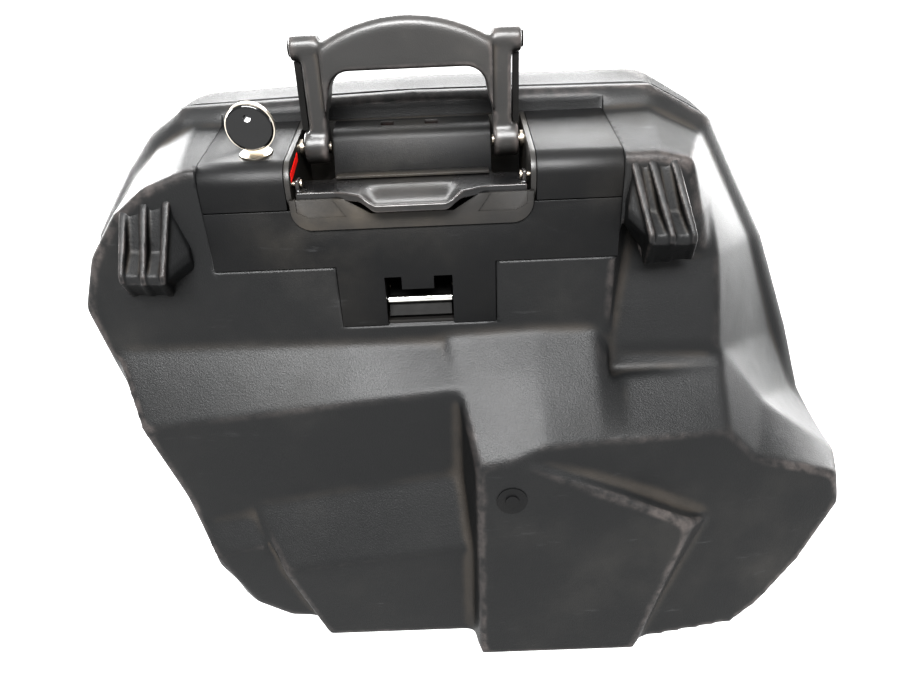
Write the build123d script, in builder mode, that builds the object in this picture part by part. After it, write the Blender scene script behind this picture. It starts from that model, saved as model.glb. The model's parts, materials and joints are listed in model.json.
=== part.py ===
"""A hard side case for a touring motorcycle, seen from the side that faces the machine.

X runs along the case, Y from the machine side (-) to the outer lid (+), Z up.
The origin is on the ground, in the middle of the case's length and depth.
"""

from build123d import *
import math
import os

os.makedirs("parts", exist_ok=True)

# ---------------------------------------------------------------- driving dimensions (mm)
WALL = 3.5                 # moulded wall of the tub
LID_WALL = 2.6
PLATE_Y = -63.0            # plane of the front plate and of the tub's upper face
PARTING_Y = 18.0           # plane where the tub ends
LID_Y = 20.0               # plane where the lid begins
LID_BACK = 128.0
BACK_SEAM_Y = 7.0          # rear edge of the top covers
FRONT_EDGE_Z = 326.0       # top front edge of the covers
TOP_SLOPE = math.tan(math.radians(11))   # the covers climb towards the lid
MID_X = -41.0              # the lock group is symmetrical about this plane
COVER_HALF = 121.5         # half length of the whole lock group
RECESS_HALF = 71.5         # half length of the handle recess
BLOCK_HALF = 48.5          # half length of the centre cover
STEP_HALF = 48.0           # lower tongue of the front plate
SEAM_Z = 301.0             # seam between covers and front plate
PLATE_Z = 265.0            # lower edge of the front plate's wings
TONGUE_Z = 225.0           # lower edge of its tongue
FIT = 0.4                  # gap round each fitted panel
PANEL = 3.0                # thickness of covers and plate
TRAY_Z = 297.0             # floor of the handle recess
SILL_Z = 62.0              # lower edge of the lid opening
HINGE_Y, HINGE_Z = 24.5, 55.0
HINGE_X = (-130.0, 170.0)
PIVOT_Y, PIVOT_Z = -18.0, 327.5          # carrying handle pivots
LEVER_Y, LEVER_Z = -55.0, 314.5          # release lever pivots
SHAFT_Y, SHAFT_Z = 15.2, 336.0           # cross shaft of the lid hooks
HOOK_X = (-150.0, 64.0)                  # where the lid hooks sit
CLAW_Y, CLAW_Z = -30.0, 238.0            # pin of the claw that grips the carrier
LOCK_X, LOCK_Y = -131.0, -42.0
RUN = 0.05                 # radial clearance of running fits


def top_z(y):
    """Height of the sloping top skin at depth y."""
    return FRONT_EDGE_Z + (y - PLATE_Y) * TOP_SLOPE


def save(shape, name):
    shape.label = name
    export_step(shape, f"parts/{name}.step")


def inset(outline, t):
    """Moves every edge of an outline (listed clockwise, seen from the machine side) inwards by t."""
    if t == 0:
        return list(outline)
    moved = []
    count = len(outline)
    for i in range(count):
        a, b, c = Vector(*outline[i - 1]), Vector(*outline[i]), Vector(*outline[(i + 1) % count])
        u, v = (b - a).normalized(), (c - b).normalized()
        n1, n2 = Vector(u.Y, -u.X), Vector(v.Y, -v.X)
        mitre = (n1 + n2) * (t / (1 + n1.dot(n2)))
        moved.append((b.X + mitre.X, b.Y + mitre.Y))
    return moved


def section(outline, depth):
    """A flat face whose outline is given in X and Z; depth is its Y, or a function of x and z."""
    at = depth if callable(depth) else (lambda x, z: depth)
    return Face(Wire.make_polygon([(x, at(x, z), z) for x, z in outline]))


def stack(*sections):
    """Straight-sided solids between neighbouring sections; the context adds them together."""
    for near, far in zip(sections, sections[1:]):
        loft(sections=[section(*near), section(*far)], ruled=True)


def bar(y, z, radius, start, length, mode=Mode.ADD):
    """A round bar along X."""
    with BuildSketch(Plane.YZ.offset(start)) as drawn:
        with Locations((y, z)):
            Circle(radius)
    extrude(to_extrude=drawn.sketch, amount=length, mode=mode)


def profile(points, start, length, mode=Mode.ADD):
    """A shape given in Y and Z, drawn out along X."""
    with BuildSketch(Plane.YZ.offset(start)) as drawn:
        Polygon(*points, align=None)
    extrude(to_extrude=drawn.sketch, amount=length, mode=mode)


# ---------------------------------------------------------------- outlines (x, z), clockwise
RIM = [(-190, 350), (-40, 354), (112, 352), (153, 330), (200, 248), (231, 174), (251, 118),
       (274, 80), (285, 62), (-246, 62), (-266, 110), (-279, 168), (-285, 216), (-265, 269),
       (-234, 312), (-214, 335)]
CREST = [(-186, 354), (-40, 360), (112, 358), (152, 335), (198, 251), (229, 176), (248, 119),
         (270, 82), (279, 63), (-242, 63), (-262, 111), (-275, 168), (-281, 216), (-261, 271),
         (-231, 315), (-210, 339)]
FACE = [(-170, 326), (100, 325), (119, 321), (135, 262), (151, 195), (152, 60), (-205, 60),
        (-238, 205), (-246, 245), (-234, 277), (-215, 302), (-195, 317)]
FACE_BACK = [(-182, 342), (110, 343), (150, 322), (198, 246), (228, 172), (262, 60), (-240, 60),
             (-274, 170), (-283, 218), (-262, 268), (-230, 306), (-208, 328)]
SHELF = [(-222, 169), (-16, 190), (-16, 0), (-120, 0), (-150, 4), (-172, 14), (-194, 50),
         (-196, 72), (-203, 112)]
SHELF_ROOT = [(-238, 222), (-16, 215), (-16, 0), (-130, 0), (-165, 2), (-187, 12), (-207, 45),
              (-211, 78), (-222, 125)]
SHELF_BACK = [(-276, 168), (-16, 168), (-16, 0), (-150, 0), (-205, 2), (-226, 12), (-242, 40),
              (-252, 75), (-266, 120)]
TOE = [(-143, 63), (-16, 79), (-16, 0), (-118, 0)]
TOE_ROOT = [(-162, 112), (-16, 134), (-16, 0), (-128, 0)]
HEEL = [(-191, 68), (-156, 78), (-112, 6), (-146, 10), (-168, 24)]
HEEL_ROOT = [(-203, 98), (-150, 106), (-105, 2), (-150, 3), (-182, 20)]
BELLY = [(-8, 149), (32, 163), (68, 162), (84, 161), (151, 157), (172, 134), (231, 115),
         (236, 90), (213, 46), (187, 13), (170, 0), (-8, 0)]
BELLY_ROOT = [(-26, 220), (32, 222), (70, 221), (88, 200), (152, 198), (185, 158), (243, 114),
              (250, 88), (228, 42), (200, 11), (180, 0), (-26, 0)]
BELLY_BACK = [(-26, 160), (32, 160), (70, 160), (88, 160), (228, 172), (251, 118), (279, 75),
              (285, 55), (262, 25), (238, 6), (215, 0), (-26, 0)]
SHIELD = [(-7, 143), (24, 152), (126, 106), (96, 0), (-5, 0)]
SHIELD_ROOT = [(-15, 152), (36, 163), (143, 96), (106, 0), (-15, 0)]


def shield_y(x, z):
    """Foremost plane of the lower block; it leans back a little."""
    return -128 + z / 15


def belly_y(x, z):
    """Face of the lower right flank: it turns away to the right and leans back."""
    return -115 + 0.153 * (x - 32) + 0.108 * (z - 150)


def tub_body(t):
    """The tub as a filled form. With t above 0 it is the hollow inside walls of that thickness."""
    mouth = PARTING_Y + (1 if t else 0)
    # everything that would stand further out than the shield's plane
    with BuildPart() as beyond:
        reach = [(-400, 500), (400, 500), (400, -100), (-400, -100)]
        stack((reach, -260), (reach, lambda x, z: shield_y(x, z) + t))
    # pocket under the right hook; its back wall leans out to meet the belly at a crease
    with BuildPart() as pocket:
        rows = [(-140, 76), (PLATE_Y, 78), (-42, 92)]
        stack(*[([(x - t, 287 + t), (300, 287 + t), (300, 188 - t), (x - t, 188 - t)],
                 y + (t if y == -42 else 0)) for y, x in rows])
        profile([(-150, 300), (-42 + t, 300), (-42 + t, 287), (-67 + t, 188 - t), (-150, 188 - t)],
                0, 400, mode=Mode.INTERSECT)
    with BuildPart() as body:
        stack((inset(FACE, t), PLATE_Y + t), (inset(FACE_BACK, t), mouth))
        stack((inset(SHELF, t), -87 + t), (inset(SHELF_ROOT, t), -60 + t),
              (inset(SHELF_BACK, t), mouth))
        stack((inset(TOE, t), -108 + t), (inset(TOE_ROOT, t), -84 + t))
        stack((inset(HEEL, t), -98 + t), (inset(HEEL_ROOT, t), -84 + t))
        stack((inset(BELLY, t), lambda x, z: belly_y(x, z) + t), (inset(BELLY_ROOT, t), -60 + t),
              (inset(BELLY_BACK, t), mouth))
        stack((inset(RIM, 8 + t), 5 + t / 2), (inset(RIM, t), 12 + t / 2), (inset(RIM, t), mouth))
        add(beyond.part, mode=Mode.SUBTRACT)
        stack((inset(SHIELD, t), lambda x, z: shield_y(x, z) + t),
              (inset(SHIELD_ROOT, t), lambda x, z: shield_y(x, z) + 18))
        add(pocket.part, mode=Mode.SUBTRACT)
        # well for the lock group
        for half, low, back in ((COVER_HALF + FIT, PLATE_Z - FIT, BACK_SEAM_Y + FIT),
                                (STEP_HALF + FIT, TONGUE_Z - FIT, -20)):
            with Locations((MID_X, (back + t - 90) / 2, (low - t + 400) / 2)):
                Box(2 * (half + t), back + t + 90, 400 - low + t, mode=Mode.SUBTRACT)
        if t:
            # below the sill the back stays closed
            with Locations((0, PARTING_Y - t + 40, (SILL_Z + t - 100) / 2)):
                Box(700, 80, SILL_Z + t + 100, mode=Mode.SUBTRACT)
    return body.part


def hook(root, tip, grooves, lean):
    """A moulded hook: a hood with ribs left standing between its grooves."""
    with BuildPart() as hood:
        stack((root, PLATE_Y + 4), (root, PLATE_Y), (tip, PLATE_Y - 21))
        for x, top in grooves:
            with BuildSketch(Plane(origin=(x, 0, 276), x_dir=(0, 1, 0),
                                   z_dir=(math.cos(lean), 0, math.sin(lean)))):
                Polygon((-62, top - 276), (-90, top - 276), (-90, -3), (-72, -3), align=None)
            extrude(amount=4.2, both=True, mode=Mode.SUBTRACT)
    return hood.part


# ---------------------------------------------------------------- the fixed case
with BuildPart() as inner_shell:
    add(tub_body(0))
    add(hook([(-214, 304), (-180, 312), (-170, 280), (-194, 249), (-221, 250)],
             [(-213, 276), (-180, 276), (-181, 272), (-184, 269), (-213, 269)],
             [(-203, 306), (-190, 309)], math.radians(3)))
    add(hook([(82, 319), (117, 321), (126, 262), (94, 262), (82, 293)],
             [(90, 278), (123, 278), (123, 268), (98, 268), (93, 271)],
             [(101, 320), (113, 321)], math.radians(-12)))
    add(tub_body(WALL), mode=Mode.SUBTRACT)
    # seat of the blanking plug
    with BuildSketch(Plane(origin=(12, shield_y(0, 128), 128), x_dir=(1, 0, 0),
                           z_dir=(0, -1, 1 / 15))):
        Circle(9.8)
    extrude(amount=-1.4, mode=Mode.SUBTRACT)
save(inner_shell.part, "inner_shell")

with BuildPart() as seal_middle:
    stack((inset(RIM, 3.0), PARTING_Y - 1), (inset(RIM, 3.0), PARTING_Y + 3))
with BuildPart() as rim_seal:
    stack((inset(RIM, 0.6), PARTING_Y), (inset(RIM, 0.6), PARTING_Y + 1.7))
    add(seal_middle.part, mode=Mode.SUBTRACT)
save(rim_seal.part, "rim_seal")

with BuildPart() as blanking_plug:
    with BuildSketch(Plane(origin=(12, shield_y(0, 128), 128), x_dir=(1, 0, 0),
                           z_dir=(0, -1, 1 / 15))) as seat:
        Circle(9.4)
    extrude(to_extrude=seat.sketch, amount=-1.4)
    with BuildSketch(Plane(origin=(12, shield_y(0, 128), 128), x_dir=(1, 0, 0),
                           z_dir=(0, -1, 1 / 15))) as cap:
        Circle(4.2)
    extrude(to_extrude=cap.sketch, amount=0.9)
save(blanking_plug.part, "blanking_plug")

APRON_HALF, APRON_LOW, APRON_TOP = 70.0, 289.0, 307.0
with BuildPart() as front_plate:
    with BuildSketch(Plane.XZ.offset(-PLATE_Y)):
        h, s = COVER_HALF - FIT, STEP_HALF
        with Locations((MID_X, 0)):
            Polygon((-h, PLATE_Z), (-h, SEAM_Z - 0.2), (h, SEAM_Z - 0.2), (h, PLATE_Z),
                    (s, PLATE_Z), (s, TONGUE_Z), (-s, TONGUE_Z), (-s, PLATE_Z), align=None)
        with Locations((MID_X + 1, 241)):
            Rectangle(41, 32, mode=Mode.SUBTRACT)
        with Locations((MID_X + 0.5, 253)):
            Rectangle(20, 8.4)
        with Locations((MID_X, APRON_LOW + 20)):
            RectangleRounded(2 * APRON_HALF + 0.8, 40.8, 12.4, mode=Mode.SUBTRACT)
    extrude(amount=-PANEL)
save(front_plate.part, "front_plate")

# cross section of the top covers in Y and Z
def rounded_brow(radius):
    """Points of the rounded front edge between the upright face and the sloping top."""
    lean = math.radians(11)
    reach = radius * math.tan((math.pi / 2 - lean) / 2)
    y, z = PLATE_Y + radius, FRONT_EDGE_Z - reach
    return [(y - radius * math.cos(a), z + radius * math.sin(a))
            for a in [i * (math.pi / 2 - lean) / 8 for i in range(9)]]


COVER_SKIN = ([(PLATE_Y, SEAM_Z + 0.2)] + rounded_brow(13)
              + [(BACK_SEAM_Y, top_z(BACK_SEAM_Y)), (BACK_SEAM_Y, top_z(BACK_SEAM_Y) - PANEL),
                 (PLATE_Y + 8, top_z(PLATE_Y + 8) - PANEL - 0.5), (PLATE_Y + PANEL, FRONT_EDGE_Z - 8),
                 (PLATE_Y + PANEL, SEAM_Z + 0.2)])
LOCK_PLANE = Plane(origin=(LOCK_X, LOCK_Y, top_z(LOCK_Y)), x_dir=(1, 0, 0),
                   z_dir=(0, -TOP_SLOPE, 1))
COVER_LENGTH = COVER_HALF - FIT - RECESS_HALF - 0.3
with BuildPart() as lock_cover:
    profile(COVER_SKIN, MID_X - COVER_HALF + FIT, COVER_LENGTH)
    with BuildSketch(LOCK_PLANE):
        Circle(9.6)
    extrude(amount=8, both=True, mode=Mode.SUBTRACT)
save(lock_cover.part, "lock_cover")

with BuildPart() as plain_cover:
    profile(COVER_SKIN, MID_X + RECESS_HALF + 0.3, COVER_LENGTH)
save(plain_cover.part, "plain_cover")

BEZEL_WALL = 3.0
BEZEL_BACK = BACK_SEAM_Y - 0.4
with BuildPart() as handle_bezel:
    profile([(PLATE_Y + PANEL, 291), (PLATE_Y + PANEL, 303), (PLATE_Y, 308)] + rounded_brow(13)
            + [(BEZEL_BACK, top_z(BEZEL_BACK)), (BEZEL_BACK, 291)],
            MID_X - RECESS_HALF, 2 * RECESS_HALF)
    profile([(PLATE_Y - 9, TRAY_Z), (PLATE_Y - 9, 400), (BEZEL_BACK - BEZEL_WALL, 400),
             (BEZEL_BACK - BEZEL_WALL, TRAY_Z)], MID_X - RECESS_HALF + BEZEL_WALL,
            2 * (RECESS_HALF - BEZEL_WALL), mode=Mode.SUBTRACT)
    # rounded apron at the front, open in the middle for the fingers
    with BuildSketch(Plane.XZ.offset(-PLATE_Y + 1.4)):
        with Locations((MID_X, APRON_LOW + 20)):
            RectangleRounded(2 * APRON_HALF, 40, 12)
        with Locations((MID_X, APRON_TOP + 30)):
            Rectangle(400, 60, mode=Mode.SUBTRACT)
        with Locations((MID_X, APRON_TOP)):
            Polygon((-40, 1), (40, 1), (24, -9), (-24, -9), align=None, mode=Mode.SUBTRACT)
    extrude(amount=-(PANEL + 1.4))
    # sunken pads in its lower corners
    with BuildSketch(Plane.XZ.offset(-PLATE_Y + 1.4)):
        with Locations((MID_X, 0)):
            for side in (-1, 1):
                Polygon((side * 66.5, APRON_TOP + 1), (side * 66.5, 300), (side * 60, 296.5),
                        (side * 38, 296.5), (side * 46, APRON_TOP + 1), align=None)
    extrude(amount=-1, mode=Mode.SUBTRACT)
    # holes for the handle pivots and the lever pins
    for start in (MID_X - 75, MID_X + 67):
        bar(PIVOT_Y, PIVOT_Z, 3.0 + RUN, start, 8, mode=Mode.SUBTRACT)
        bar(LEVER_Y, LEVER_Z, 1.5 + RUN, start, 8, mode=Mode.SUBTRACT)
    # slot for the lock flag
    profile([(-57.3, 315.5), (-57.3, 321.1), (-31.7, 328.3), (-31.7, 323.0)], MID_X - 76, 10,
            mode=Mode.SUBTRACT)
save(handle_bezel.part, "handle_bezel")

with BuildPart() as pivot_pins:
    for side in (-1, 1):
        bar(PIVOT_Y, PIVOT_Z, 3.0, MID_X + side * 60.4 - 11, 22)
        bar(PIVOT_Y, PIVOT_Z, 5.0, MID_X + side * 67.4 - 1, 2)
save(pivot_pins.part, "pivot_pins")

with BuildPart() as lever_pins:
    for side in (-1, 1):
        bar(LEVER_Y, LEVER_Z, 1.5, MID_X + side * 67.25 - 3.65, 7.3)
        bar(LEVER_Y, LEVER_Z, 2.4, MID_X + side * 63.3 - 0.5, 1.0)
save(lever_pins.part, "lever_pins")

COVER_BACK = BEZEL_BACK - BEZEL_WALL - 0.2
with BuildPart() as centre_cover:
    with BuildSketch(Plane.YZ.offset(MID_X - BLOCK_HALF)) as side_view:
        Polygon((-24, 310), (-16.2, top_z(-16.2)), (COVER_BACK, top_z(COVER_BACK)),
                (COVER_BACK, 310), align=None)
        fillet(side_view.vertices().sort_by(Axis.X)[1], 9)
    extrude(amount=2 * BLOCK_HALF)
    with BuildSketch(Plane.YZ.offset(MID_X - BLOCK_HALF + 2.5)) as inside:
        Polygon((-21.2, 309), (-13.9, top_z(-13.9) - 2.6), (COVER_BACK - 2.5, top_z(COVER_BACK) - 3),
                (COVER_BACK - 2.5, 309), align=None)
        fillet(inside.vertices().sort_by(Axis.X)[1], 7)
    extrude(amount=2 * BLOCK_HALF - 5, mode=Mode.SUBTRACT)
    for x in (-56.4, -28.8):
        with Locations((x, -1.6, 336)):
            Box(8.2, 2.2, 12, mode=Mode.SUBTRACT)
save(centre_cover.part, "centre_cover")

with BuildPart() as mechanism_frame:
    with Locations((MID_X, -6.8, 309.5)):
        Box(84, 14.4, 25)
    with Locations((MID_X, -6.8, 313)):
        Box(78, 10, 25, mode=Mode.SUBTRACT)
save(mechanism_frame.part, "mechanism_frame")

SLIDE_PLANE = Plane(origin=(MID_X, -3.6, top_z(-3.6) - 3.3), x_dir=(1, 0, 0),
                    z_dir=(0, -TOP_SLOPE, 1))
with BuildPart() as indicator_slide:
    with BuildSketch(SLIDE_PLANE):
        Rectangle(56, 3.6)
    extrude(amount=-1.4)
save(indicator_slide.part, "indicator_slide")

with BuildPart() as latch_pocket:
    with Locations((MID_X + 1, -41.2, 243.2)):
        Box(47, 37.6, 36.4)
    with Locations((MID_X + 1, -42.4, 243)):
        Box(42, 35.2, 32, mode=Mode.SUBTRACT)
    for start in (-68, -22):
        bar(CLAW_Y, CLAW_Z, 2.0 + RUN, start, 10, mode=Mode.SUBTRACT)
save(latch_pocket.part, "latch_pocket")

with BuildPart() as claw_pin:
    bar(CLAW_Y, CLAW_Z, 2.0, MID_X + 1 - 25, 50)
save(claw_pin.part, "claw_pin")

with BuildPart() as lock_barrel:
    with BuildSketch(LOCK_PLANE.offset(0.7)):
        Circle(9.3)
        Circle(6.1 + RUN, mode=Mode.SUBTRACT)
    extrude(amount=-26.7)
    with BuildSketch(LOCK_PLANE.offset(-3.4)):
        Circle(12)
        Circle(9.2, mode=Mode.SUBTRACT)
    extrude(amount=-3)
save(lock_barrel.part, "lock_barrel")

with BuildPart() as shaft_brackets:
    for x in (-128.0, MID_X, 40.0):
        with Locations((x, (BACK_SEAM_Y + FIT + WALL + 18) / 2, SHAFT_Z)):
            Box(10, 18 - BACK_SEAM_Y - FIT - WALL, 10)
    bar(SHAFT_Y, SHAFT_Z, 2.5 + RUN, -200, 320, mode=Mode.SUBTRACT)
save(shaft_brackets.part, "shaft_brackets")

KNUCKLE = 5.2
with BuildPart() as hinge_brackets:
    for x in HINGE_X:
        with Locations((x, PARTING_Y + 1.5, 34)):
            Box(52, 3, 28)
        for start in (x - 26, x + 13):
            bar(HINGE_Y, HINGE_Z, KNUCKLE, start, 13)
            profile([(PARTING_Y, 40), (PARTING_Y, 55), (HINGE_Y, 55), (HINGE_Y + 3, 51)], start, 13)
        bar(HINGE_Y, HINGE_Z, 2.5 + RUN, x - 30, 60, mode=Mode.SUBTRACT)
save(hinge_brackets.part, "hinge_brackets")

with BuildPart() as hinge_pins:
    for x in HINGE_X:
        bar(HINGE_Y, HINGE_Z, 2.5, x - 27, 54)
save(hinge_pins.part, "hinge_pins")

with BuildPart() as bracket_screws:
    for x in HINGE_X:
        for dx in (-18, 18):
            with BuildSketch(Plane.XZ.offset(-(PARTING_Y + 3))) as head:
                with Locations((x + dx, 30)):
                    Circle(4)
                    RegularPolygon(1.9, 6, mode=Mode.SUBTRACT)
            extrude(to_extrude=head.sketch, amount=-2.6)
            with BuildSketch(Plane.XZ.offset(-(PARTING_Y + 3))) as web:
                with Locations((x + dx, 30)):
                    Circle(3.6)
            extrude(to_extrude=web.sketch, amount=-0.8)
save(bracket_screws.part, "bracket_screws")

# ---------------------------------------------------------------- carrying handle
ARM_IN, ARM_OUT, EAR_OUT = 50.0, 61.0, 67.0
with BuildPart() as handle_arms:
    for side in (-1, 1):
        near, far = sorted((MID_X + side * 50.5, MID_X + side * 65.2))
        bar(PIVOT_Y, PIVOT_Z, 10, near, far - near)
        with Locations((MID_X + side * (ARM_IN + ARM_OUT) / 2, PIVOT_Y, 358)):
            Box(ARM_OUT - ARM_IN, 12, 61)
        near, far = sorted((MID_X + side * ARM_IN, MID_X + side * EAR_OUT))
        bar(PIVOT_Y, 384, 7, near, far - near)
        bar(PIVOT_Y, PIVOT_Z, 3.0 + RUN, MID_X + side * 58 - 12, 24, mode=Mode.SUBTRACT)
save(handle_arms.part, "handle_arms")

with BuildPart() as grip:
    with BuildSketch(Plane.XZ.offset(-PIVOT_Y + 10)) as face_on:
        with BuildLine():
            Polyline((MID_X + 49.8, 386), (MID_X + 49.8, 346), (MID_X + 46.5, 358))
            ThreePointArc((MID_X + 46.5, 358), (MID_X + 43.2, 367), (MID_X + 34, 371))
            Line((MID_X + 34, 371), (MID_X - 34, 371))
            ThreePointArc((MID_X - 34, 371), (MID_X - 43.2, 367), (MID_X - 46.5, 358))
            Polyline((MID_X - 46.5, 358), (MID_X - 49.8, 346), (MID_X - 49.8, 386))
            ThreePointArc((MID_X - 49.8, 386), (MID_X, 399.5), (MID_X + 49.8, 386))
        make_face()
    extrude(amount=-20)
    long_edges = grip.edges().filter_by(GeomType.CIRCLE).filter_by(lambda e: e.length > 60)
    fillet(long_edges, 6)
save(grip.part, "grip")

with BuildPart() as handle_struts:
    for side in (-1, 1):
        with Locations((MID_X + side * 63.8, PIVOT_Y + 1, 357.5)):
            Box(3.6, 5, 39)
save(handle_struts.part, "handle_struts")

with BuildPart() as ear_pins:
    for side in (-1, 1):
        near, far = sorted((MID_X + side * EAR_OUT, MID_X + side * (EAR_OUT + 0.8)))
        bar(PIVOT_Y, 384, 4.5, near, far - near)
save(ear_pins.part, "ear_pins")

# ---------------------------------------------------------------- release lever
with BuildPart() as release_lever:
    with BuildSketch(Plane.XY.offset(308)):
        with Locations((MID_X, 0)):
            Polygon((-66.5, -61.5), (-66.5, -32), (-49, -32), (-49, -27), (49, -27), (49, -32),
                    (66.5, -32), (66.5, -61.5), (40, -61.5), (22, -70), (-22, -70), (-40, -61.5),
                    align=None)
    extrude(amount=2.6)
    # end flanges that carry the pins
    for side in (-1, 1):
        with Locations((MID_X + side * 65.25, -55, 313)):
            Box(2.5, 9, 9)
    for start in (MID_X - 70, MID_X + 60):
        bar(LEVER_Y, LEVER_Z, 1.5 + RUN, start, 10, mode=Mode.SUBTRACT)
save(release_lever.part, "release_lever")

with BuildPart() as finger_tab:
    profile([(-70, 308), (-70, 310.6), (-72.5, 309.6), (-75.5, 306.4), (-74.6, 303),
             (-71.6, 303.4), (-71.4, 306.4)], MID_X - 17, 34)
save(finger_tab.part, "finger_tab")

# ---------------------------------------------------------------- lid hooks on their shaft
with BuildPart() as latch_shaft:
    bar(SHAFT_Y, SHAFT_Z, 2.5, HOOK_X[0] - 8, HOOK_X[1] - HOOK_X[0] + 16)
save(latch_shaft.part, "latch_shaft")

with BuildPart() as lid_hooks:
    for x in HOOK_X:
        bar(SHAFT_Y, SHAFT_Z, 4.2, x - 2, 4)
        profile([(13, 338), (13, 341), (33, 341), (33, 333.2), (29.5, 333.2), (28, 337.4)],
                x - 2, 4)
    bar(SHAFT_Y, SHAFT_Z, 2.5, -200, 320, mode=Mode.SUBTRACT)
save(lid_hooks.part, "lid_hooks")

# ---------------------------------------------------------------- claw for the carrier
with BuildPart() as latch_claw:
    profile([(-53, 239), (-33, 243), (-26, 240), (-26, 236), (-34, 234), (-50, 231.5),
             (-57, 228), (-58.5, 229.5)], MID_X + 1 - 19.5, 39)
    bar(CLAW_Y, CLAW_Z, 2.0 + RUN, MID_X - 30, 60, mode=Mode.SUBTRACT)
save(latch_claw.part, "latch_claw")

with BuildPart() as latch_bar:
    bar(-55.4, 239.5, 2.6, MID_X + 1 - 19.8, 39.6)
save(latch_bar.part, "latch_bar")

# ---------------------------------------------------------------- lock and key
with BuildPart() as lock_plug:
    with BuildSketch(LOCK_PLANE.offset(0.4)):
        Circle(6.1)
        with Locations((0, 0)):
            Rectangle(8.6, 2.6, mode=Mode.SUBTRACT)
    extrude(amount=-25)
save(lock_plug.part, "lock_plug")

UPRIGHT = Plane(origin=LOCK_PLANE.origin, x_dir=(1, 0, 0),
                z_dir=LOCK_PLANE.z_dir.cross(Vector(1, 0, 0)) * -1)
with BuildPart() as key_blade:
    with BuildSketch(UPRIGHT):
        with Locations((0, -1)):
            Rectangle(8.4, 34)
    extrude(amount=1.15, both=True)
save(key_blade.part, "key_blade")

with BuildPart() as key_head:
    with BuildSketch(UPRIGHT):
        with Locations((0, 16)):
            Circle(13.4)
        with Locations((0, 22)):
            Circle(2.2, mode=Mode.SUBTRACT)
    extrude(amount=3.4, both=True)
    fillet(key_head.edges().filter_by(lambda e: e.length > 60), 1.6)
    with BuildSketch(UPRIGHT):
        Rectangle(8.4, 34)
    extrude(amount=1.15, both=True, mode=Mode.SUBTRACT)
save(key_head.part, "key_head")

with BuildPart() as key_rim:
    with BuildSketch(UPRIGHT):
        with Locations((0, 16)):
            Circle(14.1)
            Circle(13.45, mode=Mode.SUBTRACT)
    extrude(amount=1.6, both=True)
    with BuildSketch(UPRIGHT):
        Rectangle(8.6, 34)
    extrude(amount=1.3, both=True, mode=Mode.SUBTRACT)
save(key_rim.part, "key_rim")

with BuildPart() as lock_flag:
    profile([(-57, 315.9), (-57, 320.8), (-32, 327.8), (-32, 323.3)], MID_X - RECESS_HALF - 2, 5.2)
save(lock_flag.part, "lock_flag")

# ---------------------------------------------------------------- lid
def shrunk(outline, k):
    """An outline drawn together towards the middle of the lid."""
    return [(x * k, 215 + (z - 215) * k) for x, z in outline]


LID_ROWS = [(RIM, LID_Y), (CREST, 46), (shrunk(CREST, 0.965), 82), (shrunk(CREST, 0.9), 110),
            (shrunk(CREST, 0.8), LID_BACK)]
with BuildPart() as lid_room:
    stack(*[(inset(outline, LID_WALL + (0.1 if y == LID_Y else 0)),
             y - (1 if y == LID_Y else LID_WALL if y > 100 else 0.6)) for outline, y in LID_ROWS])
with BuildPart() as outer_lid:
    stack(*LID_ROWS)
    add(lid_room.part, mode=Mode.SUBTRACT)
save(outer_lid.part, "outer_lid")

with BuildPart() as hinge_leaves:
    for x in HINGE_X:
        bar(HINGE_Y, HINGE_Z, KNUCKLE, x - 12.5, 25)
        profile([(LID_Y + 1, 58), (LID_Y + 1, 62), (LID_Y + 16, 62.5), (LID_Y + 16, 60),
                 (HINGE_Y + 5, 58), (HINGE_Y + 4, 55)], x - 12.5, 25)
        bar(HINGE_Y, HINGE_Z, 2.5 + RUN, x - 30, 60, mode=Mode.SUBTRACT)
save(hinge_leaves.part, "hinge_leaves")

with BuildPart() as strikers:
    for x in HOOK_X:
        bar(27, 330, 2.2, x - 11, 22)
        for dx in (-11, 8):
            profile([(24.5, 327), (24.5, 350), (33, 350), (33, 340), (29.5, 327)], x + dx, 3)
save(strikers.part, "strikers")

with BuildPart() as corner_bumper:
    for i in range(7):
        z = 84 + i * 6
        x = -246 - (z - 84) * 0.42
        with Locations((x, 58, z)):
            Box(16, 46, 3.6)
    with Locations((-252, 58, 102)):
        Box(12, 44, 38)
    add(outer_lid.part, mode=Mode.SUBTRACT)
save(corner_bumper.part, "corner_bumper")
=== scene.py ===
# %% [markdown]
# # A hard side case for a touring motorcycle
# The case is a blow-moulded tub with a lock group let into its upper edge, a folding carrying handle,
# and a lid on the far side. The CAD frame already holds every part at its true size. Here the big
# mouldings get their soft corners, and every surface gets its finish.

# %% Load the frame
import bpy
import bmesh
import json
import math
import numpy as np
from mathutils import Matrix, Vector


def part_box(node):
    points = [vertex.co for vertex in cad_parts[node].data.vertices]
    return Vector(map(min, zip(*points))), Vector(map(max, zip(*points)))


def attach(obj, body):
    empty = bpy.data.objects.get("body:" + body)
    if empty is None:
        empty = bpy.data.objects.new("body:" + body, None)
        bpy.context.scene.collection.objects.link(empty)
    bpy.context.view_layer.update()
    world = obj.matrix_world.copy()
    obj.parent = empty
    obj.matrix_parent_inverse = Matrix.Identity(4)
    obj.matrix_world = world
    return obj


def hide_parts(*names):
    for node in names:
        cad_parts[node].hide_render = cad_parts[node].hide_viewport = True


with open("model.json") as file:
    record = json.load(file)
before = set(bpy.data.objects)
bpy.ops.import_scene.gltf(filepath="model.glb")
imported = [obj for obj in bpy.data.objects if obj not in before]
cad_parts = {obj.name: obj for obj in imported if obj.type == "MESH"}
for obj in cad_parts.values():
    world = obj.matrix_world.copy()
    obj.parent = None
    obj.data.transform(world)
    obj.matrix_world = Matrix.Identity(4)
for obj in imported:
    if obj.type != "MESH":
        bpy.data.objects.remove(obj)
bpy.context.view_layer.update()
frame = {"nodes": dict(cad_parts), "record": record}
record = frame["record"]
nodes = frame["nodes"]

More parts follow.
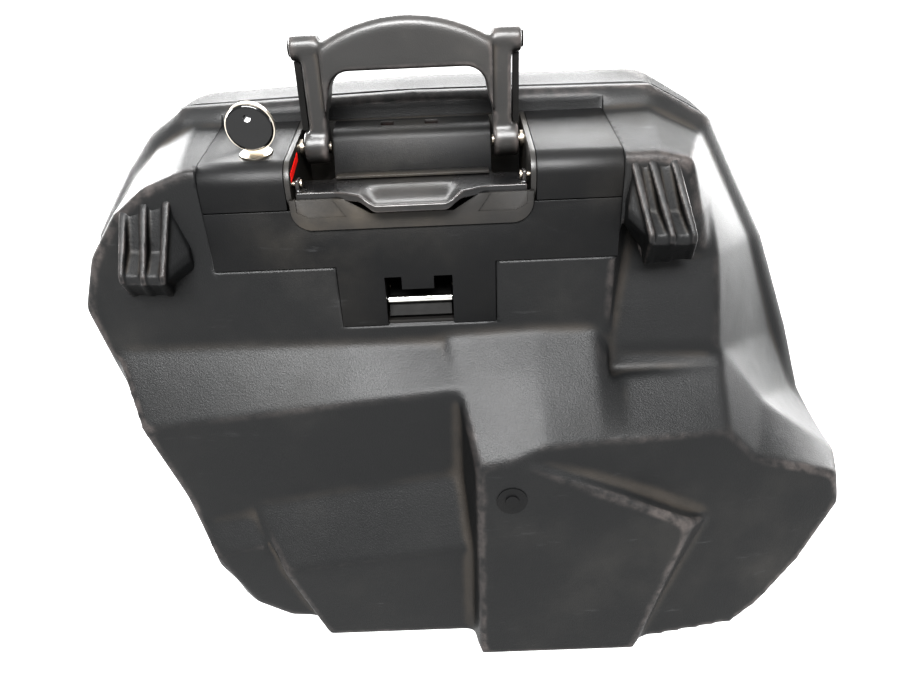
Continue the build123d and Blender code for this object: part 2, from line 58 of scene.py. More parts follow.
# %% [markdown]
# ## Surface maths
# A finish is a small network of nodes. Written as sums in Python it reads like a recipe: this class
# wraps one socket and turns +, -, * and / into Math nodes. Everything that is not a sum goes through
# `add`, which takes a node's type, its settings, and what goes into its sockets.

# %% A socket that can be calculated with
class Value:
    def __init__(self, finish, socket):
        self.finish, self.socket = finish, socket

    def sum(self, operation, *others, clamp=False):
        node = self.finish.add("ShaderNodeMath", {"operation": operation, "use_clamp": clamp},
                               {i: v for i, v in enumerate((self,) + others)})
        return Value(self.finish, node.outputs[0])

    def __add__(self, other): return self.sum("ADD", other)
    def __radd__(self, other): return self.sum("ADD", other)
    def __sub__(self, other): return self.sum("SUBTRACT", other)
    def __mul__(self, other): return self.sum("MULTIPLY", other)
    def __rmul__(self, other): return self.sum("MULTIPLY", other)
    def __truediv__(self, other): return self.sum("DIVIDE", other)

    def __rsub__(self, other):
        return (self * -1.0) + other

    def most(self, other): return self.sum("MAXIMUM", other)
    def least(self, other): return self.sum("MINIMUM", other)
    def size(self): return self.sum("ABSOLUTE")
    def clamped(self): return self.sum("ADD", 0.0, clamp=True)

    def between(self, low, high):
        """0 at low, 1 at high, smooth in between."""
        node = self.finish.add("ShaderNodeMapRange", {"interpolation_type": "SMOOTHSTEP"},
                               {"Value": self, "From Min": low, "From Max": high})
        return Value(self.finish, node.outputs[0])


# %% A finish made of nodes
class Finish:
    def __init__(self, name):
        self.material = bpy.data.materials.new(name)
        self.material.use_nodes = True
        self.tree = self.material.node_tree
        self.tree.nodes.clear()
        self.shader = self.add("ShaderNodeBsdfPrincipled")
        out = self.add("ShaderNodeOutputMaterial", {}, {"Surface": self.shader.outputs[0]})
        self.out = out
        self.place = self.add("ShaderNodeTexCoord").outputs["Object"]
        axes = self.add("ShaderNodeSeparateXYZ", {}, {"Vector": self.place})
        self.x, self.y, self.z = (Value(self, s) for s in axes.outputs)

    def add(self, kind, settings=None, inputs=None):
        node = self.tree.nodes.new(kind)
        for key, value in (settings or {}).items():
            setattr(node, key, value)
        for key, value in (inputs or {}).items():
            socket = node.inputs[key]
            if isinstance(value, Value):
                value = value.socket
            if isinstance(value, bpy.types.NodeSocket):
                self.tree.links.new(value, socket)
            else:
                socket.default_value = value
        return node

    def noise(self, scale, detail=4.0, rough=0.55, stretch=None, offset=(0, 0, 0)):
        where = self.place
        if stretch or any(offset):
            where = self.add("ShaderNodeMapping", {}, {"Vector": where, "Location": offset,
                                                       "Scale": stretch or (1, 1, 1)}).outputs[0]
        node = self.add("ShaderNodeTexNoise", {}, {"Vector": where, "Scale": scale,
                                                   "Detail": detail, "Roughness": rough})
        return Value(self, node.outputs[0])

    def mix(self, amount, first, second):
        """A colour between two others."""
        node = self.add("ShaderNodeMix", {"data_type": "RGBA"})
        for index, value in ((0, amount), (6, first), (7, second)):
            if isinstance(value, Value):
                value = value.socket
            if isinstance(value, bpy.types.NodeSocket):
                self.tree.links.new(value, node.inputs[index])
            elif index:
                node.inputs[index].default_value = (*value[:3], 1.0)
            else:
                node.inputs[index].default_value = value
        return node.outputs[2]

    def bump(self, height, strength, distance, under=None):
        node = self.add("ShaderNodeBump", {}, {"Height": height, "Strength": strength,
                                               "Distance": distance})
        if under is not None:
            self.tree.links.new(under, node.inputs["Normal"])
        return node.outputs[0]

    def set(self, **values):
        for key, value in values.items():
            socket = self.shader.inputs[key.replace("_", " ")]
            if isinstance(value, Value):
                value = value.socket
            if isinstance(value, bpy.types.NodeSocket):
                self.tree.links.new(value, socket)
            else:
                socket.default_value = value
        return self.material


print("finish tools ready")

# %% [markdown]
# ## Black mouldings
# The tub and lid are grained polyethylene: matt, a little grey, with fine leather-like pores, scuffs
# that show lighter, crests painted lighter as rubbed wear and as a painted highlight, and dust that has
# settled in patches. The same recipe with other numbers gives the smoother panels of the lock group.

# %% Moulded plastic
# the scuff strength sets both the lighter scratches and the painted highlight along convex crests
def moulded(name, colour, dusty, rough, pore, grain, dust, scuff_and_edge_highlight, shine=0.24):
    f = Finish(name)
    edge = Value(f, f.add("ShaderNodeAttribute", {"attribute_name": "edge"}).outputs["Fac"])
    cloud = f.noise(7.0, 5.0, 0.6)
    patch = f.noise(16.0, 6.0, 0.62, offset=(3.1, 0.4, 1.7))
    fine = f.noise(120.0, 5.0, 0.65, offset=(1.0, 1.0, 0.0))
    pores = f.noise(pore, 3.0, 0.7)
    streaks = f.noise(60.0, 4.0, 0.7, stretch=(0.35, 1.0, 2.2), offset=(0.3, 2.0, 5.0))
    dusting = (cloud.between(0.42, 0.75) * patch.between(0.35, 0.7) * dust).clamped()
    settled = ((edge * -1.0).between(0.15, 0.8) * patch.between(0.3, 0.6) * dust * 0.7).clamped()
    scratch = (streaks.between(0.63, 0.74) * cloud.between(0.4, 0.62) * scuff_and_edge_highlight).clamped()
    # convex crests painted lighter brown: partly rubbed wear, partly a painted highlight where light catches
    # the rounded edges
    rubbed_wear_and_highlight = (edge.between(0.3, 0.8) * fine.between(0.3, 0.7) * cloud.between(0.3, 0.62)
              * scuff_and_edge_highlight * 0.6).clamped()
    tone = f.mix(dusting, colour, dusty)
    tone = f.mix(settled, tone, (0.05, 0.041, 0.032))
    tone = f.mix(scratch, tone, [c * 3.2 + 0.012 for c in colour])
    # this tone paints the crests lighter, as wear and as a painted highlight
    tone = f.mix(rubbed_wear_and_highlight, tone, (0.1, 0.086, 0.081))
    normal = f.bump(pores, grain, 0.0006)
    normal = f.bump(streaks, 0.05, 0.0008, normal)
    return f.set(Base_Color=tone, Normal=normal, Specular_IOR_Level=shine,
                 Roughness=(patch * 0.16 + dusting * 0.3 + settled * 0.3 - scratch * 0.1
                            - rubbed_wear_and_highlight * 0.12 + (rough - 0.08)))


tub_plastic = moulded("tub plastic", (0.0065, 0.0067, 0.0069), (0.035, 0.033, 0.03), 0.45, 900.0,
                      0.35, 0.35, 0.55, 0.22)
panel_plastic = moulded("panel plastic", (0.0045, 0.0046, 0.0048), (0.04, 0.036, 0.03), 0.42, 1400.0,
                        0.22, 0.35, 0.5, 0.18)
bezel_plastic = moulded("bezel plastic", (0.012, 0.0115, 0.011), (0.08, 0.066, 0.048), 0.38, 1600.0,
                        0.12, 0.5, 0.8, 0.3)
handle_plastic = moulded("handle plastic", (0.015, 0.0146, 0.0142), (0.07, 0.062, 0.054), 0.36, 1500.0,
                         0.16, 0.4, 0.8, 0.34)
print("mouldings", tub_plastic.name, panel_plastic.name)

# %% Simple finishes, to be refined
def plain(name, colour, rough, metal=0.0, coat=0.0, speckle=0.05, shine=0.5):
    f = Finish(name)
    cloud = f.noise(90.0, 4.0, 0.6)
    fine = f.noise(700.0, 2.0, 0.6)
    tone = f.mix(cloud.between(0.35, 0.7), colour, [c * 0.75 for c in colour])
    return f.set(Base_Color=tone, Metallic=metal, Coat_Weight=coat, Specular_IOR_Level=shine,
                 Roughness=cloud * speckle * 2 + (rough - speckle),
                 Normal=f.bump(fine, 0.06, 0.0003))


finishes = {
    "tub_plastic": tub_plastic, "panel_plastic": panel_plastic, "bezel_plastic": bezel_plastic,
    "handle_plastic": handle_plastic,
    "lever_plastic": moulded("lever plastic", (0.007, 0.007, 0.0073), (0.06, 0.05, 0.038), 0.27,
                             1800.0, 0.08, 0.25, 0.6, 0.38),
    "lever_gloss": plain("polished tab", (0.008, 0.008, 0.009), 0.16),
    "rubber_black": plain("bumper rubber", (0.009, 0.009, 0.009), 0.8),
    "red_plastic": plain("signal red", (0.62, 0.018, 0.012), 0.4),
    "key_plastic": plain("key plastic", (0.002, 0.002, 0.0022), 0.12),
    "pin_steel": plain("pin steel", (0.3, 0.27, 0.23), 0.36, 1.0),
    "lock_nickel": plain("lock nickel", (0.66, 0.61, 0.53), 0.3, 1.0),
    "bright_bar": plain("bright bar", (0.5, 0.49, 0.47), 0.22, 1.0),
    "black_metal": plain("coated steel", (0.007, 0.0068, 0.0065), 0.6, shine=0.1),
}
for part in record["subparts"]:
    mesh = nodes[part["node"]].data
    mesh.materials.clear()
    mesh.materials.append(finishes[part["material_slot"]])
print("finishes", len(finishes))

# %% [markdown]
# ## Blow-moulded shells
# The tub has no sharp corner anywhere: plastic blown against a mould rounds every edge. Bevels on a
# form with this many slanting planes soon tangle, so the form is turned into an even grid of small
# faces and then relaxed, the way sanding rounds clay. Where the moulding must stay crisp, at the
# hooks and at the well that takes the lock group, the relaxing is held back or the well is cut afterwards.

# %% Tools for the shells
def joined_copy(node, name):
    """A CAD node's faces are loose; a copy has them joined."""
    mesh = nodes[node].data.copy()
    obj = bpy.data.objects.new(name, mesh)
    bpy.context.collection.objects.link(obj)
    bm = bmesh.new()
    bm.from_mesh(mesh)
    bmesh.ops.remove_doubles(bm, verts=bm.verts, dist=1e-5)
    bm.to_mesh(mesh)
    bm.free()
    return obj


def outer_skin(obj, rim_y, out):
    """Keeps only the outer side, drawn out past the rim and closed there."""
    bm = bmesh.new()
    bm.from_mesh(obj.data)
    rim = [f for f in bm.faces if all(abs(v.co.y - rim_y) < 1e-5 for v in f.verts)]
    bmesh.ops.delete(bm, geom=rim, context="FACES_ONLY")
    bm.verts.ensure_lookup_table()
    start = (max if out < 0 else min)(bm.verts, key=lambda v: v.co.y)
    seen, queue = {start}, [start]
    while queue:
        for edge in queue.pop().link_edges:
            for v in edge.verts:
                if v not in seen:
                    seen.add(v)
                    queue.append(v)
    bmesh.ops.delete(bm, geom=[v for v in bm.verts if v not in seen], context="VERTS")
    loop = [e for e in bm.edges if e.is_boundary]
    drawn = bmesh.ops.extrude_edge_only(bm, edges=loop)["geom"]
    bmesh.ops.translate(bm, vec=(0, out, 0), verts=[g for g in drawn if isinstance(g, bmesh.types.BMVert)])
    bmesh.ops.holes_fill(bm, edges=[e for e in bm.edges if e.is_boundary], sides=0)
    bmesh.ops.recalc_face_normals(bm, faces=bm.faces)
    bm.to_mesh(obj.data)
    bm.free()


def apply_modifier(obj, kind, **settings):
    mod = obj.modifiers.new(kind.lower(), kind)
    for key, value in settings.items():
        setattr(mod, key, value)
    bpy.context.view_layer.objects.active = obj
    with bpy.context.temp_override(object=obj, active_object=obj):
        bpy.ops.object.modifier_apply(modifier=mod.name)


def relax(obj, rounds, hold):
    """Evens the surface out, less where hold (0..1 per vertex) is high."""
    mesh = obj.data
    co = np.empty(len(mesh.vertices) * 3)
    mesh.vertices.foreach_get("co", co)
    co = co.reshape(-1, 3)
    ends = np.empty(len(mesh.edges) * 2, int)
    mesh.edges.foreach_get("vertices", ends)
    a, b = ends.reshape(-1, 2).T
    count = np.bincount(a, minlength=len(co)) + np.bincount(b, minlength=len(co))
    free = (1 - hold(co))[:, None]
    for _ in range(rounds):
        total = np.zeros_like(co)
        for axis in range(3):
            total[:, axis] = (np.bincount(a, co[b, axis], len(co)) + np.bincount(b, co[a, axis], len(co)))
        co += 0.5 * free * (total / count[:, None] - co)
    mesh.vertices.foreach_set("co", co.ravel())
    mesh.update()


def mark_edges(obj, rounds=16, reach=0.7e-3):
    """Stores how far each point stands proud of an evened-out surface: worn edges that also carry a painted
    highlight, dusty corners.
    """
    mesh = obj.data
    before = np.empty(len(mesh.vertices) * 3)
    mesh.vertices.foreach_get("co", before)
    normals = np.empty(len(mesh.vertices) * 3)
    mesh.vertex_normals.foreach_get("vector", normals)
    relax(obj, rounds, lambda co: np.zeros(len(co)))
    after = np.empty_like(before)
    mesh.vertices.foreach_get("co", after)
    mesh.vertices.foreach_set("co", before)
    mesh.update()
    proud = np.einsum("ij,ij->i", (before - after).reshape(-1, 3), normals.reshape(-1, 3))
    layer = mesh.attributes.new("edge", "FLOAT", "POINT")
    layer.data.foreach_set("value", np.clip(proud / reach, -1, 1).astype(np.float32))


def hull(name, points):
    """The tightest closed form round a few points, given in millimetres."""
    bm = bmesh.new()
    for p in points:
        bm.verts.new([v * 0.001 for v in p])
    found = bmesh.ops.convex_hull(bm, input=bm.verts)
    bmesh.ops.delete(bm, geom=list(set(found["geom_interior"] + found["geom_unused"])), context="VERTS")
    bmesh.ops.recalc_face_normals(bm, faces=bm.faces)
    mesh = bpy.data.meshes.new(name)
    bm.to_mesh(mesh)
    bm.free()
    obj = bpy.data.objects.new(name, mesh)
    bpy.context.collection.objects.link(obj)
    return obj


def finish_piece(obj, body, slot, *stands_for):
    """Smooth shading, finish, body and slot of a finished piece."""
    obj.data.polygons.foreach_set("use_smooth", [True] * len(obj.data.polygons))
    obj.data.materials.clear()
    obj.data.materials.append(finishes[slot])
    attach(obj, body)
    if stands_for:
        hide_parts(*stands_for)
    obj.data.calc_loop_triangles()
    print(obj.name, len(obj.data.loop_triangles), "triangles")


def cut_at(obj, y, keep_low):
    """Cuts the drawn-out rim off, leaving an open edge."""
    bm = bmesh.new()
    bm.from_mesh(obj.data)
    bmesh.ops.bisect_plane(bm, geom=bm.verts[:] + bm.edges[:] + bm.faces[:], dist=1e-6,
                           plane_co=(0, y, 0), plane_no=(0, 1, 0),
                           clear_outer=keep_low, clear_inner=not keep_low)
    bm.to_mesh(obj.data)
    bm.free()


def near(co, low, high, soft):
    """1 inside a box, fading to 0 over the distance soft."""
    gap = np.maximum(np.maximum(np.array(low) - co, co - np.array(high)), 0)
    return np.clip(1 - np.linalg.norm(gap, axis=1) / soft, 0, 1)


def prism(name, yz, x0, x1):
    """A closed block with an outline in Y and Z, drawn out along X."""
    bm = bmesh.new()
    rings = [[bm.verts.new((x, y, z)) for y, z in yz] for x in (x0, x1)]
    n = len(yz)
    for i in range(n):
        j = (i + 1) % n
        bm.faces.new((rings[0][i], rings[0][j], rings[1][j], rings[1][i]))
    bm.faces.new(rings[0][::-1])
    bm.faces.new(rings[1])
    bmesh.ops.recalc_face_normals(bm, faces=bm.faces)
    mesh = bpy.data.meshes.new(name)
    bm.to_mesh(mesh)
    bm.free()
    obj = bpy.data.objects.new(name, mesh)
    bpy.context.collection.objects.link(obj)
    return obj


def join(target, *others):
    """Adds the other meshes to the target and removes them."""
    bm = bmesh.new()
    bm.from_mesh(target.data)
    for other in others:
        bm.from_mesh(other.data)
        bpy.data.objects.remove(other)
    bm.to_mesh(target.data)
    bm.free()


print("shell tools ready")

# %% The tub
MM = 0.001
lock_low, lock_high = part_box("lock_cover")
plain_low, plain_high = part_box("plain_cover")
plate_low, plate_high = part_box("front_plate")
pocket_low, pocket_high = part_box("latch_pocket")
rim_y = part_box("inner_shell")[1].y
seam = 0.4 * MM
brow_z = lock_high.z - (lock_high.y - lock_low.y) * math.tan(math.radians(11))
tongue_low = plate_low.z
wing_low = 265 * MM
step_half = 48 * MM
mid_x = (plate_low.x + plate_high.x) / 2


def lock_well(gap, lift):
    """The blocks that fill or cut the well of the lock group."""
    y0, y1 = plate_low.y, lock_high.y + gap
    outside = y0 - (0.05 if lift else 0.0)
    up = 0.1 if lift else 0.0
    group = prism("well wings", [(outside, wing_low - gap), (y1, wing_low - gap),
                                 (y1, lock_high.z + up + 1e-4), (y0 + 2e-3, brow_z + up),
                                 (outside, brow_z + up - 2e-3)],
                  lock_low.x - gap, plain_high.x + gap)
    tongue = prism("well tongue", [(outside, tongue_low - gap), (pocket_high.y + 1e-3, tongue_low - gap),
                                   (pocket_high.y + 1e-3, wing_low + 1e-3), (outside, wing_low + 1e-3)],
                   mid_x - step_half - gap, mid_x + step_half + gap)
    return group, tongue


def block(low, high):
    """A box between two corners, in millimetres."""
    return hull("block", [(x, y, z) for x in (low[0], high[0]) for y in (low[1], high[1])
                          for z in (low[2], high[2])])


def cut_away(obj, *cutters):
    for cutter in cutters:
        apply_modifier(obj, "BOOLEAN", operation="DIFFERENCE", object=cutter, solver="EXACT")
        bpy.data.objects.remove(cutter)


tub = joined_copy("inner_shell", "tub")
outer_skin(tub, rim_y, 0.016)
front = plate_low.y * 1000 - 0.05
cut_away(tub, block((-228, front - 40, 244), (-166, front, 330)),
         block((79, front - 40, 256), (131, front, 335)))
# the pocket under the right hook runs out softly towards its top beside the hook
run_out = hull("run out", [(122, -62.9, 290), (128, -62.9, 290), (139, -42.2, 290), (122, -42.2, 290),
                           (122, -48, 256), (141, -48, 256), (122, -44, 256), (142, -44, 256)])
join(tub, run_out, *lock_well(0.6 * MM, False))
apply_modifier(tub, "REMESH", mode="VOXEL", voxel_size=2.0 * MM)


def held(co):
    lock = near(co, (lock_low.x, plate_low.y - 0.004, wing_low - 0.004),
                (plain_high.x, lock_high.y + 0.004, brow_z + 0.02), 0.01)
    return np.clip(0.5 * lock, 0, 0.95)


relax(tub, 9, held)
mark_edges(tub)
print("tub", len(tub.data.polygons), "faces")

# %% Cut the well and the rim, then give the skin its thickness
cut_away(tub, *lock_well(seam, True))
cut_at(tub, rim_y, True)
faces = len(tub.data.polygons) * 2
apply_modifier(tub, "DECIMATE", ratio=min(1.0, 92000 / faces))
apply_modifier(tub, "SOLIDIFY", thickness=3.2 * MM, offset=-1.0)
finish_piece(tub, "case", "tub_plastic", "inner_shell")

# %% The lid
lid = joined_copy("outer_lid", "lid")
lid_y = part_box("outer_lid")[0].y
outer_skin(lid, lid_y, -0.016)
apply_modifier(lid, "REMESH", mode="VOXEL", voxel_size=3.0 * MM)
relax(lid, 12, lambda co: np.zeros(len(co)))
mark_edges(lid)
cut_at(lid, lid_y, False)
apply_modifier(lid, "DECIMATE", ratio=min(1.0, 40000 / (2 * len(lid.data.polygons))))
apply_modifier(lid, "SOLIDIFY", thickness=2.6 * MM, offset=-1.0)
finish_piece(lid, "lid", "tub_plastic", "outer_lid")

# %% [markdown]
# ## Hooks
# Two ribbed hooks hang the case on the machine. Each is a hood with three thin blades and a slanting
# side web, all moulded in one with the tub. The blades are built as tight hulls round their corner
# points, melted together on a grid much finer than the tub's, and only just relaxed, so they stay
# crisp beside the soft shell.

# %% Blades, hood and web
BLADE = 1.9
WALL_FACE = plate_low.y * 1000
WALL_BACK = WALL_FACE + 2.2


def hook(name, tops, tips, roots, web):
    """tops, tips and roots are the ends of the blades; web is the outer end of the side web."""
    bodies = []
    for (tx, tz), (px, pz), (rx, rz) in zip(tops, tips, roots):
        bodies.append(hull("blade", [(x + s * BLADE * w, y, z) for s in (-1, 1) for x, y, z, w in (
            (tx, WALL_BACK, tz + 1, 1.3), (tx, WALL_FACE - 1.5, tz - 3, 1), (px, WALL_FACE - 21, pz, 0.8),
            (px, WALL_FACE - 21, pz - 5, 0.8), (rx, WALL_FACE - 1, rz, 1.0), (rx, WALL_BACK, rz, 1.2))]))
    first, last = 0, len(tops) - 1
    floor = []
    lip = []
    for i in (first, last):
        (tx, tz), (px, pz), (rx, rz) = tops[i], tips[i], roots[i]
        floor += [(tx, WALL_BACK, tz), (tx, WALL_FACE - 0.5, tz - 5), (px, WALL_FACE - 8, pz + 4),
                  (px, WALL_FACE - 8, pz - 5), (rx, WALL_BACK, rz)]
        lip += [(px, WALL_FACE - 7, pz + 9), (px, WALL_FACE - 19.2, pz - 1), (px, WALL_FACE - 19.4, pz - 6),
                (rx, WALL_FACE - 1, rz + 1), (rx, WALL_BACK, rz + 1), (px, WALL_BACK, pz + 9)]
    bodies += [hull("floor", floor), hull("lip", lip)]
    near_end = min((first, last), key=lambda i: abs(tips[i][0] - web[0]))
    (tx, tz), (px, pz), (rx, rz) = tops[near_end], tips[near_end], roots[near_end]
    wx, wy, wz = web
    bodies.append(hull("web", [(tx, WALL_BACK, tz - 2), (tx, WALL_FACE - 1, tz - 6), (px, WALL_FACE - 18.5, pz),
                               (px, WALL_FACE - 18.5, pz - 4), (wx, wy, wz), (wx, wy, wz - 5),
                               (wx, WALL_BACK, wz + 4), (wx, WALL_BACK, wz - 12), (rx, WALL_BACK, rz + 4)]))
    piece = bodies[0]
    piece.name = name
    join(piece, *bodies[1:])
    apply_modifier(piece, "REMESH", mode="VOXEL", voxel_size=0.8 * MM)
    relax(piece, 4, lambda co: np.zeros(len(co)))
    mark_edges(piece, 10, 0.35e-3)
    finish_piece(piece, "case", "tub_plastic")


hook("left_hook", [(-207.9, 305), (-194.7, 310), (-181.2, 311)],
     [(-208.4, 273.5), (-196.2, 272), (-184.9, 272)],
     [(-214, 252), (-203, 251.5), (-192, 251)], (-173.2, WALL_FACE - 3.5, 279.5))
hook("right_hook", [(85.6, 321.5), (95.4, 322), (108, 321.5)],
     [(93.4, 284.5), (105, 284), (117.4, 283.5)],
     [(98, 259), (110, 260), (123, 261)], (82.2, WALL_FACE - 7, 296))

# %% [markdown]
# ## Fitted panels
# The covers, the plate and the frame round the handle are injection mouldings with small, even edge
# radii. Their CAD shapes are right, so a copy is cleaned of its triangles and only gets its edges
# broken with a bevel: that thin band is what catches the light along every seam.

# %% Broken edges
def broken_edges(node, name, width, body, slot, segments=2):
    piece = joined_copy(node, name)
    bm = bmesh.new()
    bm.from_mesh(piece.data)
    bmesh.ops.dissolve_limit(bm, angle_limit=math.radians(1.5), verts=bm.verts, edges=bm.edges)
    bm.to_mesh(piece.data)
    bm.free()
    apply_modifier(piece, "BEVEL", width=width * MM, segments=segments, limit_method="ANGLE",
                   angle_limit=math.radians(32), harden_normals=False)
    apply_modifier(piece, "TRIANGULATE")
    bm = bmesh.new()
    bm.from_mesh(piece.data)
    for edge in bm.edges:
        edge.smooth = edge.is_manifold and edge.calc_face_angle() < math.radians(40)
    bm.to_mesh(piece.data)
    bm.free()
    finish_piece(piece, body, slot, node)
    return piece


slots = {part["node"]: part["material_slot"] for part in record["subparts"]}
panels = {node: broken_edges(node, node + "_soft", width, "case", slots[node])
          for node, width in (("front_plate", 0.5), ("lock_cover", 0.5), ("plain_cover", 0.5),
                              ("handle_bezel", 0.9), ("centre_cover", 0.8))}
# two sight slots in the centre cover show the red slide below
for x in (-56.4, -28.8):
    cut_away(panels["centre_cover"], block((x - 4.1, -7.0, 330), (x + 4.1, -1.2, 345)))
flags = [block((x - 3.9, -6.9, 334.2), (x + 3.9, -4.6, 335.6)) for x in (-56.4, -28.8)]
flags[0].name = "slide_flags"
join(flags[0], flags[1])
finish_piece(flags[0], "indicator", "red_plastic")

# %% [markdown]
# ## Carrying handle
# Grip and arms are one thick moulding with generous radii, so the two CAD solids are melted together
# on a fine grid and relaxed until the edges are as round as a hand would want them.

# %% Handle
handle = joined_copy("grip", "carrying_handle")
join(handle, joined_copy("handle_arms", "arms"))
apply_modifier(handle, "REMESH", mode="VOXEL", voxel_size=1.1 * MM)
relax(handle, 8, lambda co: np.zeros(len(co)))
mark_edges(handle, 16, 0.5e-3)
finish_piece(handle, "handle", "handle_plastic", "grip", "handle_arms")

# %% [markdown]
# ## Release lever
# The lever is a wide plate that sweeps forward in the middle and dips into a scooped finger tab. Its
# height follows a rule: flat at the wings, falling towards the tab, and thicker under the front edge.
# So it is calculated as a sheet of points with an upper and a lower side, then relaxed.

# %% Lever
def step(value, low, high):
    """0 at low, 1 at high, smooth in between."""
    t = np.clip((value - low) / (high - low), 0, 1)
    return t * t * (3 - 2 * t)


lever_low, lever_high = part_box("release_lever")
tab_low, tab_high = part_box("finger_tab")
lever_mid = (lever_low.x + lever_high.x) * 500
half = (lever_high.x - lever_low.x) * 500
plate_top = 310.6
columns, rows = 150, 40
u = np.linspace(-half, half, columns)[:, None]
v = np.linspace(0, 1, rows)[None, :]
rear = np.where(np.abs(u) < 48.8, lever_high.y * 1000, lever_high.y * 1000 - 5)
front_edge = -61.5 - (-61.5 - tab_low.y * 1000 - 2.5) * (1 - step(np.abs(u), 21, 47))
y = rear + (front_edge - rear) * v
scoop = (1 - step(np.abs(u), 19, 30)) * step(-y, 46, 70)
top = plate_top - 5.6 * scoop + 0.0 * u
under = top - 2.4 - 2.2 * step(v + 0.0 * u, 0.86, 0.97)
bm = bmesh.new()
sheets = [[[bm.verts.new(((lever_mid + u[i, 0]) * MM, y[i, j] * MM, z[i, j] * MM)) for j in range(rows)]
           for i in range(columns)] for z in (top, under)]
for k, sheet in enumerate(sheets):
    for i in range(columns - 1):
        for j in range(rows - 1):
            ring = (sheet[i][j], sheet[i + 1][j], sheet[i + 1][j + 1], sheet[i][j + 1])
            bm.faces.new(ring if k else ring[::-1])
rim = ([(i, 0) for i in range(columns)] + [(columns - 1, j) for j in range(1, rows)]
       + [(i, rows - 1) for i in range(columns - 2, -1, -1)] + [(0, j) for j in range(rows - 2, 0, -1)])
for (i, j), (m, n) in zip(rim, rim[1:] + rim[:1]):
    bm.faces.new((sheets[0][i][j], sheets[0][m][n], sheets[1][m][n], sheets[1][i][j]))
bmesh.ops.recalc_face_normals(bm, faces=bm.faces)
mesh = bpy.data.meshes.new("lever")
bm.to_mesh(mesh)
bm.free()
lever = bpy.data.objects.new("lever", mesh)
bpy.context.collection.objects.link(lever)
for side in (-1, 1):
    x = lever_mid + side * (half - 1.25)
    join(lever, block((x - 1.25, -59.5, 308.5), (x + 1.25, -50.5, 317.4)))
apply_modifier(lever, "REMESH", mode="VOXEL", voxel_size=0.75 * MM)
relax(lever, 4, lambda co: np.zeros(len(co)))
mark_edges(lever, 10, 0.4e-3)
finish_piece(lever, "lever", "lever_plastic", "release_lever", "finger_tab")

# %% Ledge under the centre cover
ledge = block((lever_mid - 46.5, -35.5, 311.2), (lever_mid + 46.5, -24.6, 312.6))
ledge.name = "ledge"
apply_modifier(ledge, "BEVEL", width=0.5 * MM, segments=3)
apply_modifier(ledge, "TRIANGULATE")
finish_piece(ledge, "case", "bezel_plastic")

# %% [markdown]
# ## Bumper ribs
# A rubber bumper with a row of equal ribs guards the lower corner of the lid. Equal steps along a line
# are what Geometry Nodes do best: one rib, a line of points, and a few named sizes.

# %% Node tree for the ribs
def rib_tree():
    tree = bpy.data.node_groups.new("bumper ribs", "GeometryNodeTree")
    face = tree.interface
    face.new_socket("Geometry", in_out="OUTPUT", socket_type="NodeSocketGeometry")
    for name, kind in (("Count", "NodeSocketInt"), ("Start", "NodeSocketVector"),
                       ("Step", "NodeSocketVector"), ("Length", "NodeSocketFloat"),
                       ("Thickness", "NodeSocketFloat"), ("Depth", "NodeSocketFloat"),
                       ("Finish", "NodeSocketMaterial")):
        face.new_socket(name, in_out="INPUT", socket_type=kind)
    new, link = tree.nodes.new, tree.links.new
    given = new("NodeGroupInput").outputs
    line = new("GeometryNodeMeshLine")
    link(given["Count"], line.inputs["Count"])
    link(given["Start"], line.inputs["Start Location"])
    link(given["Step"], line.inputs["Offset"])
    rib = new("GeometryNodeMeshCylinder")
    rib.inputs["Vertices"].default_value = 20
    rib.inputs["Radius"].default_value = 0.5
    link(given["Length"], rib.inputs["Depth"])
    size = new("ShaderNodeCombineXYZ")
    link(given["Depth"], size.inputs["X"])
    link(given["Thickness"], size.inputs["Y"])
    size.inputs["Z"].default_value = 1.0
    place = new("GeometryNodeInstanceOnPoints")
    link(line.outputs["Mesh"], place.inputs["Points"])
    link(rib.outputs["Mesh"], place.inputs["Instance"])
    link(size.outputs[0], place.inputs["Scale"])
    place.inputs["Rotation"].default_value = (math.pi / 2, 0, 0)
    real = new("GeometryNodeRealizeInstances")
    link(place.outputs[0], real.inputs[0])
    paint = new("GeometryNodeSetMaterial")
    link(real.outputs[0], paint.inputs["Geometry"])
    link(given["Finish"], paint.inputs["Material"])
    link(paint.outputs[0], new("NodeGroupOutput").inputs[0])
    return tree


def grown(name, tree, **values):
    """A plain mesh from a node tree and its named inputs."""
    seed = bpy.data.objects.new("seed", bpy.data.meshes.new("seed"))
    bpy.context.collection.objects.link(seed)
    mod = seed.modifiers.new("nodes", "NODES")
    mod.node_group = tree
    for item in tree.interface.items_tree:
        if item.in_out == "INPUT" and item.name in values:
            mod[item.identifier] = values[item.name]
    graph = bpy.context.evaluated_depsgraph_get()
    mesh = bpy.data.meshes.new_from_object(seed.evaluated_get(graph))
    bpy.data.objects.remove(seed)
    obj = bpy.data.objects.new(name, mesh)
    bpy.context.collection.objects.link(obj)
    return obj


bumper_low, bumper_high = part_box("corner_bumper")
pitch = 6.0
ribs = grown("bumper_ribs", rib_tree(), Count=7, Start=(-0.246, 0.058, 0.084),
             Step=(-0.42 * pitch * MM, 0.0, pitch * MM), Length=0.046, Thickness=0.0038, Depth=0.016,
             Finish=finishes["rubber_black"])
join(ribs, block((-258, 36, 83), (-246, 80, 121)))
finish_piece(ribs, "lid", "rubber_black", "corner_bumper")

# %% [markdown]
# ## Stage
# A plain pale floor, a soft light overhead, a window on each side, and a camera a little above the
# case that looks down at the machine side.

# %% Floor
bpy.ops.mesh.primitive_plane_add(size=30, location=(0, 0, 0))
floor = bpy.context.object
floor.name = "floor"
f = Finish("pale floor")
tint = f.mix(f.noise(1.5), (0.1, 0.1, 0.1), (0.12, 0.12, 0.12))
f.set(Base_Color=tint, Roughness=0.6, Emission_Color=(1, 1, 1, 1), Emission_Strength=0.92)
floor.data.materials.append(f.material)

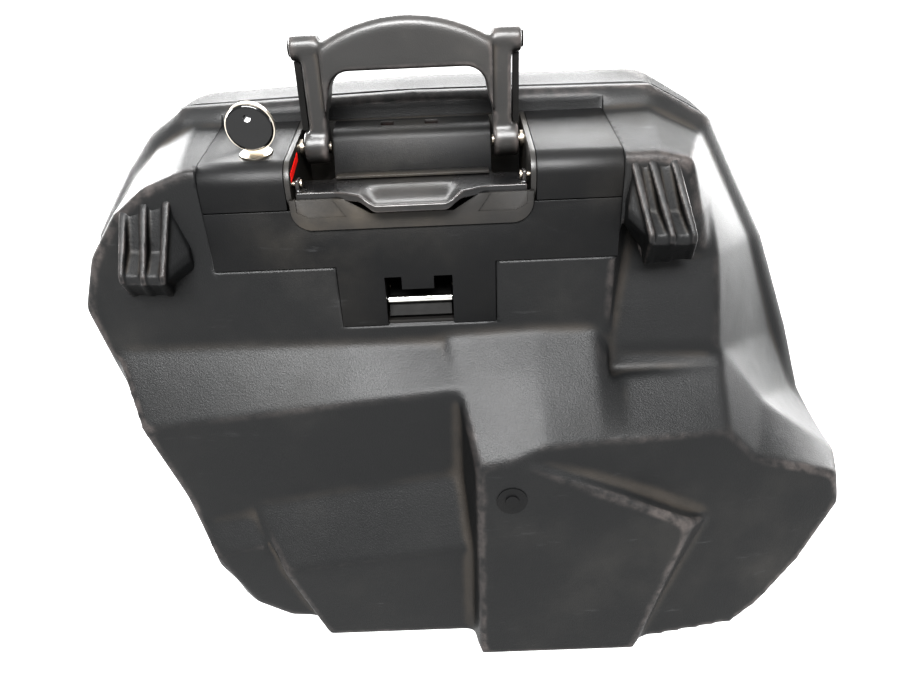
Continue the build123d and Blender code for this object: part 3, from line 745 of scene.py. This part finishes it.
# %% Light
def soft_light(name, at, aim, size, watts):
    data = bpy.data.lights.new(name, "AREA")
    data.shape, data.size, data.size_y, data.energy = "RECTANGLE", size[0], size[1], watts
    lamp = bpy.data.objects.new(name, data)
    bpy.context.collection.objects.link(lamp)
    lamp.location = at
    lamp.visible_camera = False
    lamp.rotation_euler = (Vector(aim) - Vector(at)).to_track_quat("-Z", "Y").to_euler()
    return lamp


soft_light("ceiling", (0.0, 0.2, 2.6), (0, 0, 0.2), (2.2, 1.6), 20)
soft_light("lamp in front", (-0.15, -1.6, 1.75), (0, 0, 0.2), (1.7, 0.7), 190)
soft_light("window behind", (0.1, 2.6, 1.9), (0, 0, 0.3), (3.2, 1.0), 100)
soft_light("window left", (-1.9, 1.2, 1.1), (-0.2, 0, 0.3), (1.0, 1.0), 120)
soft_light("window right", (1.9, 1.1, 0.6), (0.15, 0, 0.2), (1.4, 0.9), 60)
scene = bpy.context.scene
scene.view_settings.view_transform = "Standard"
scene.view_settings.look = "High Contrast"
world = bpy.data.worlds.new("pale room")
world.use_nodes = True
world.node_tree.nodes["Background"].inputs["Color"].default_value = (1.0, 1.0, 1.0, 1.0)
world.node_tree.nodes["Background"].inputs["Strength"].default_value = 1.0
scene.world = world

# %% Camera
PITCH, ROLL, TURN = math.radians(27.4), math.radians(2.6), math.radians(-0.6)
camera_data = bpy.data.cameras.new("camera")
camera_data.lens, camera_data.sensor_width = 27.04, 36.0
camera = bpy.data.objects.new("camera", camera_data)
bpy.context.collection.objects.link(camera)
ahead = Vector((math.sin(TURN) * math.cos(PITCH), math.cos(TURN) * math.cos(PITCH), -math.sin(PITCH)))
side = ahead.cross(Vector((0, 0, 1))).normalized()
up = side.cross(ahead)
right = side * math.cos(ROLL) - up * math.sin(ROLL)
top = side * math.sin(ROLL) + up * math.cos(ROLL)
camera.matrix_world = Matrix((
    (right.x, top.x, -ahead.x, -0.0185), (right.y, top.y, -ahead.y, -0.4437),
    (right.z, top.z, -ahead.z, 0.412), (0, 0, 0, 1)))
scene.camera = camera
print("camera at", [round(v, 3) for v in camera.matrix_world.translation])
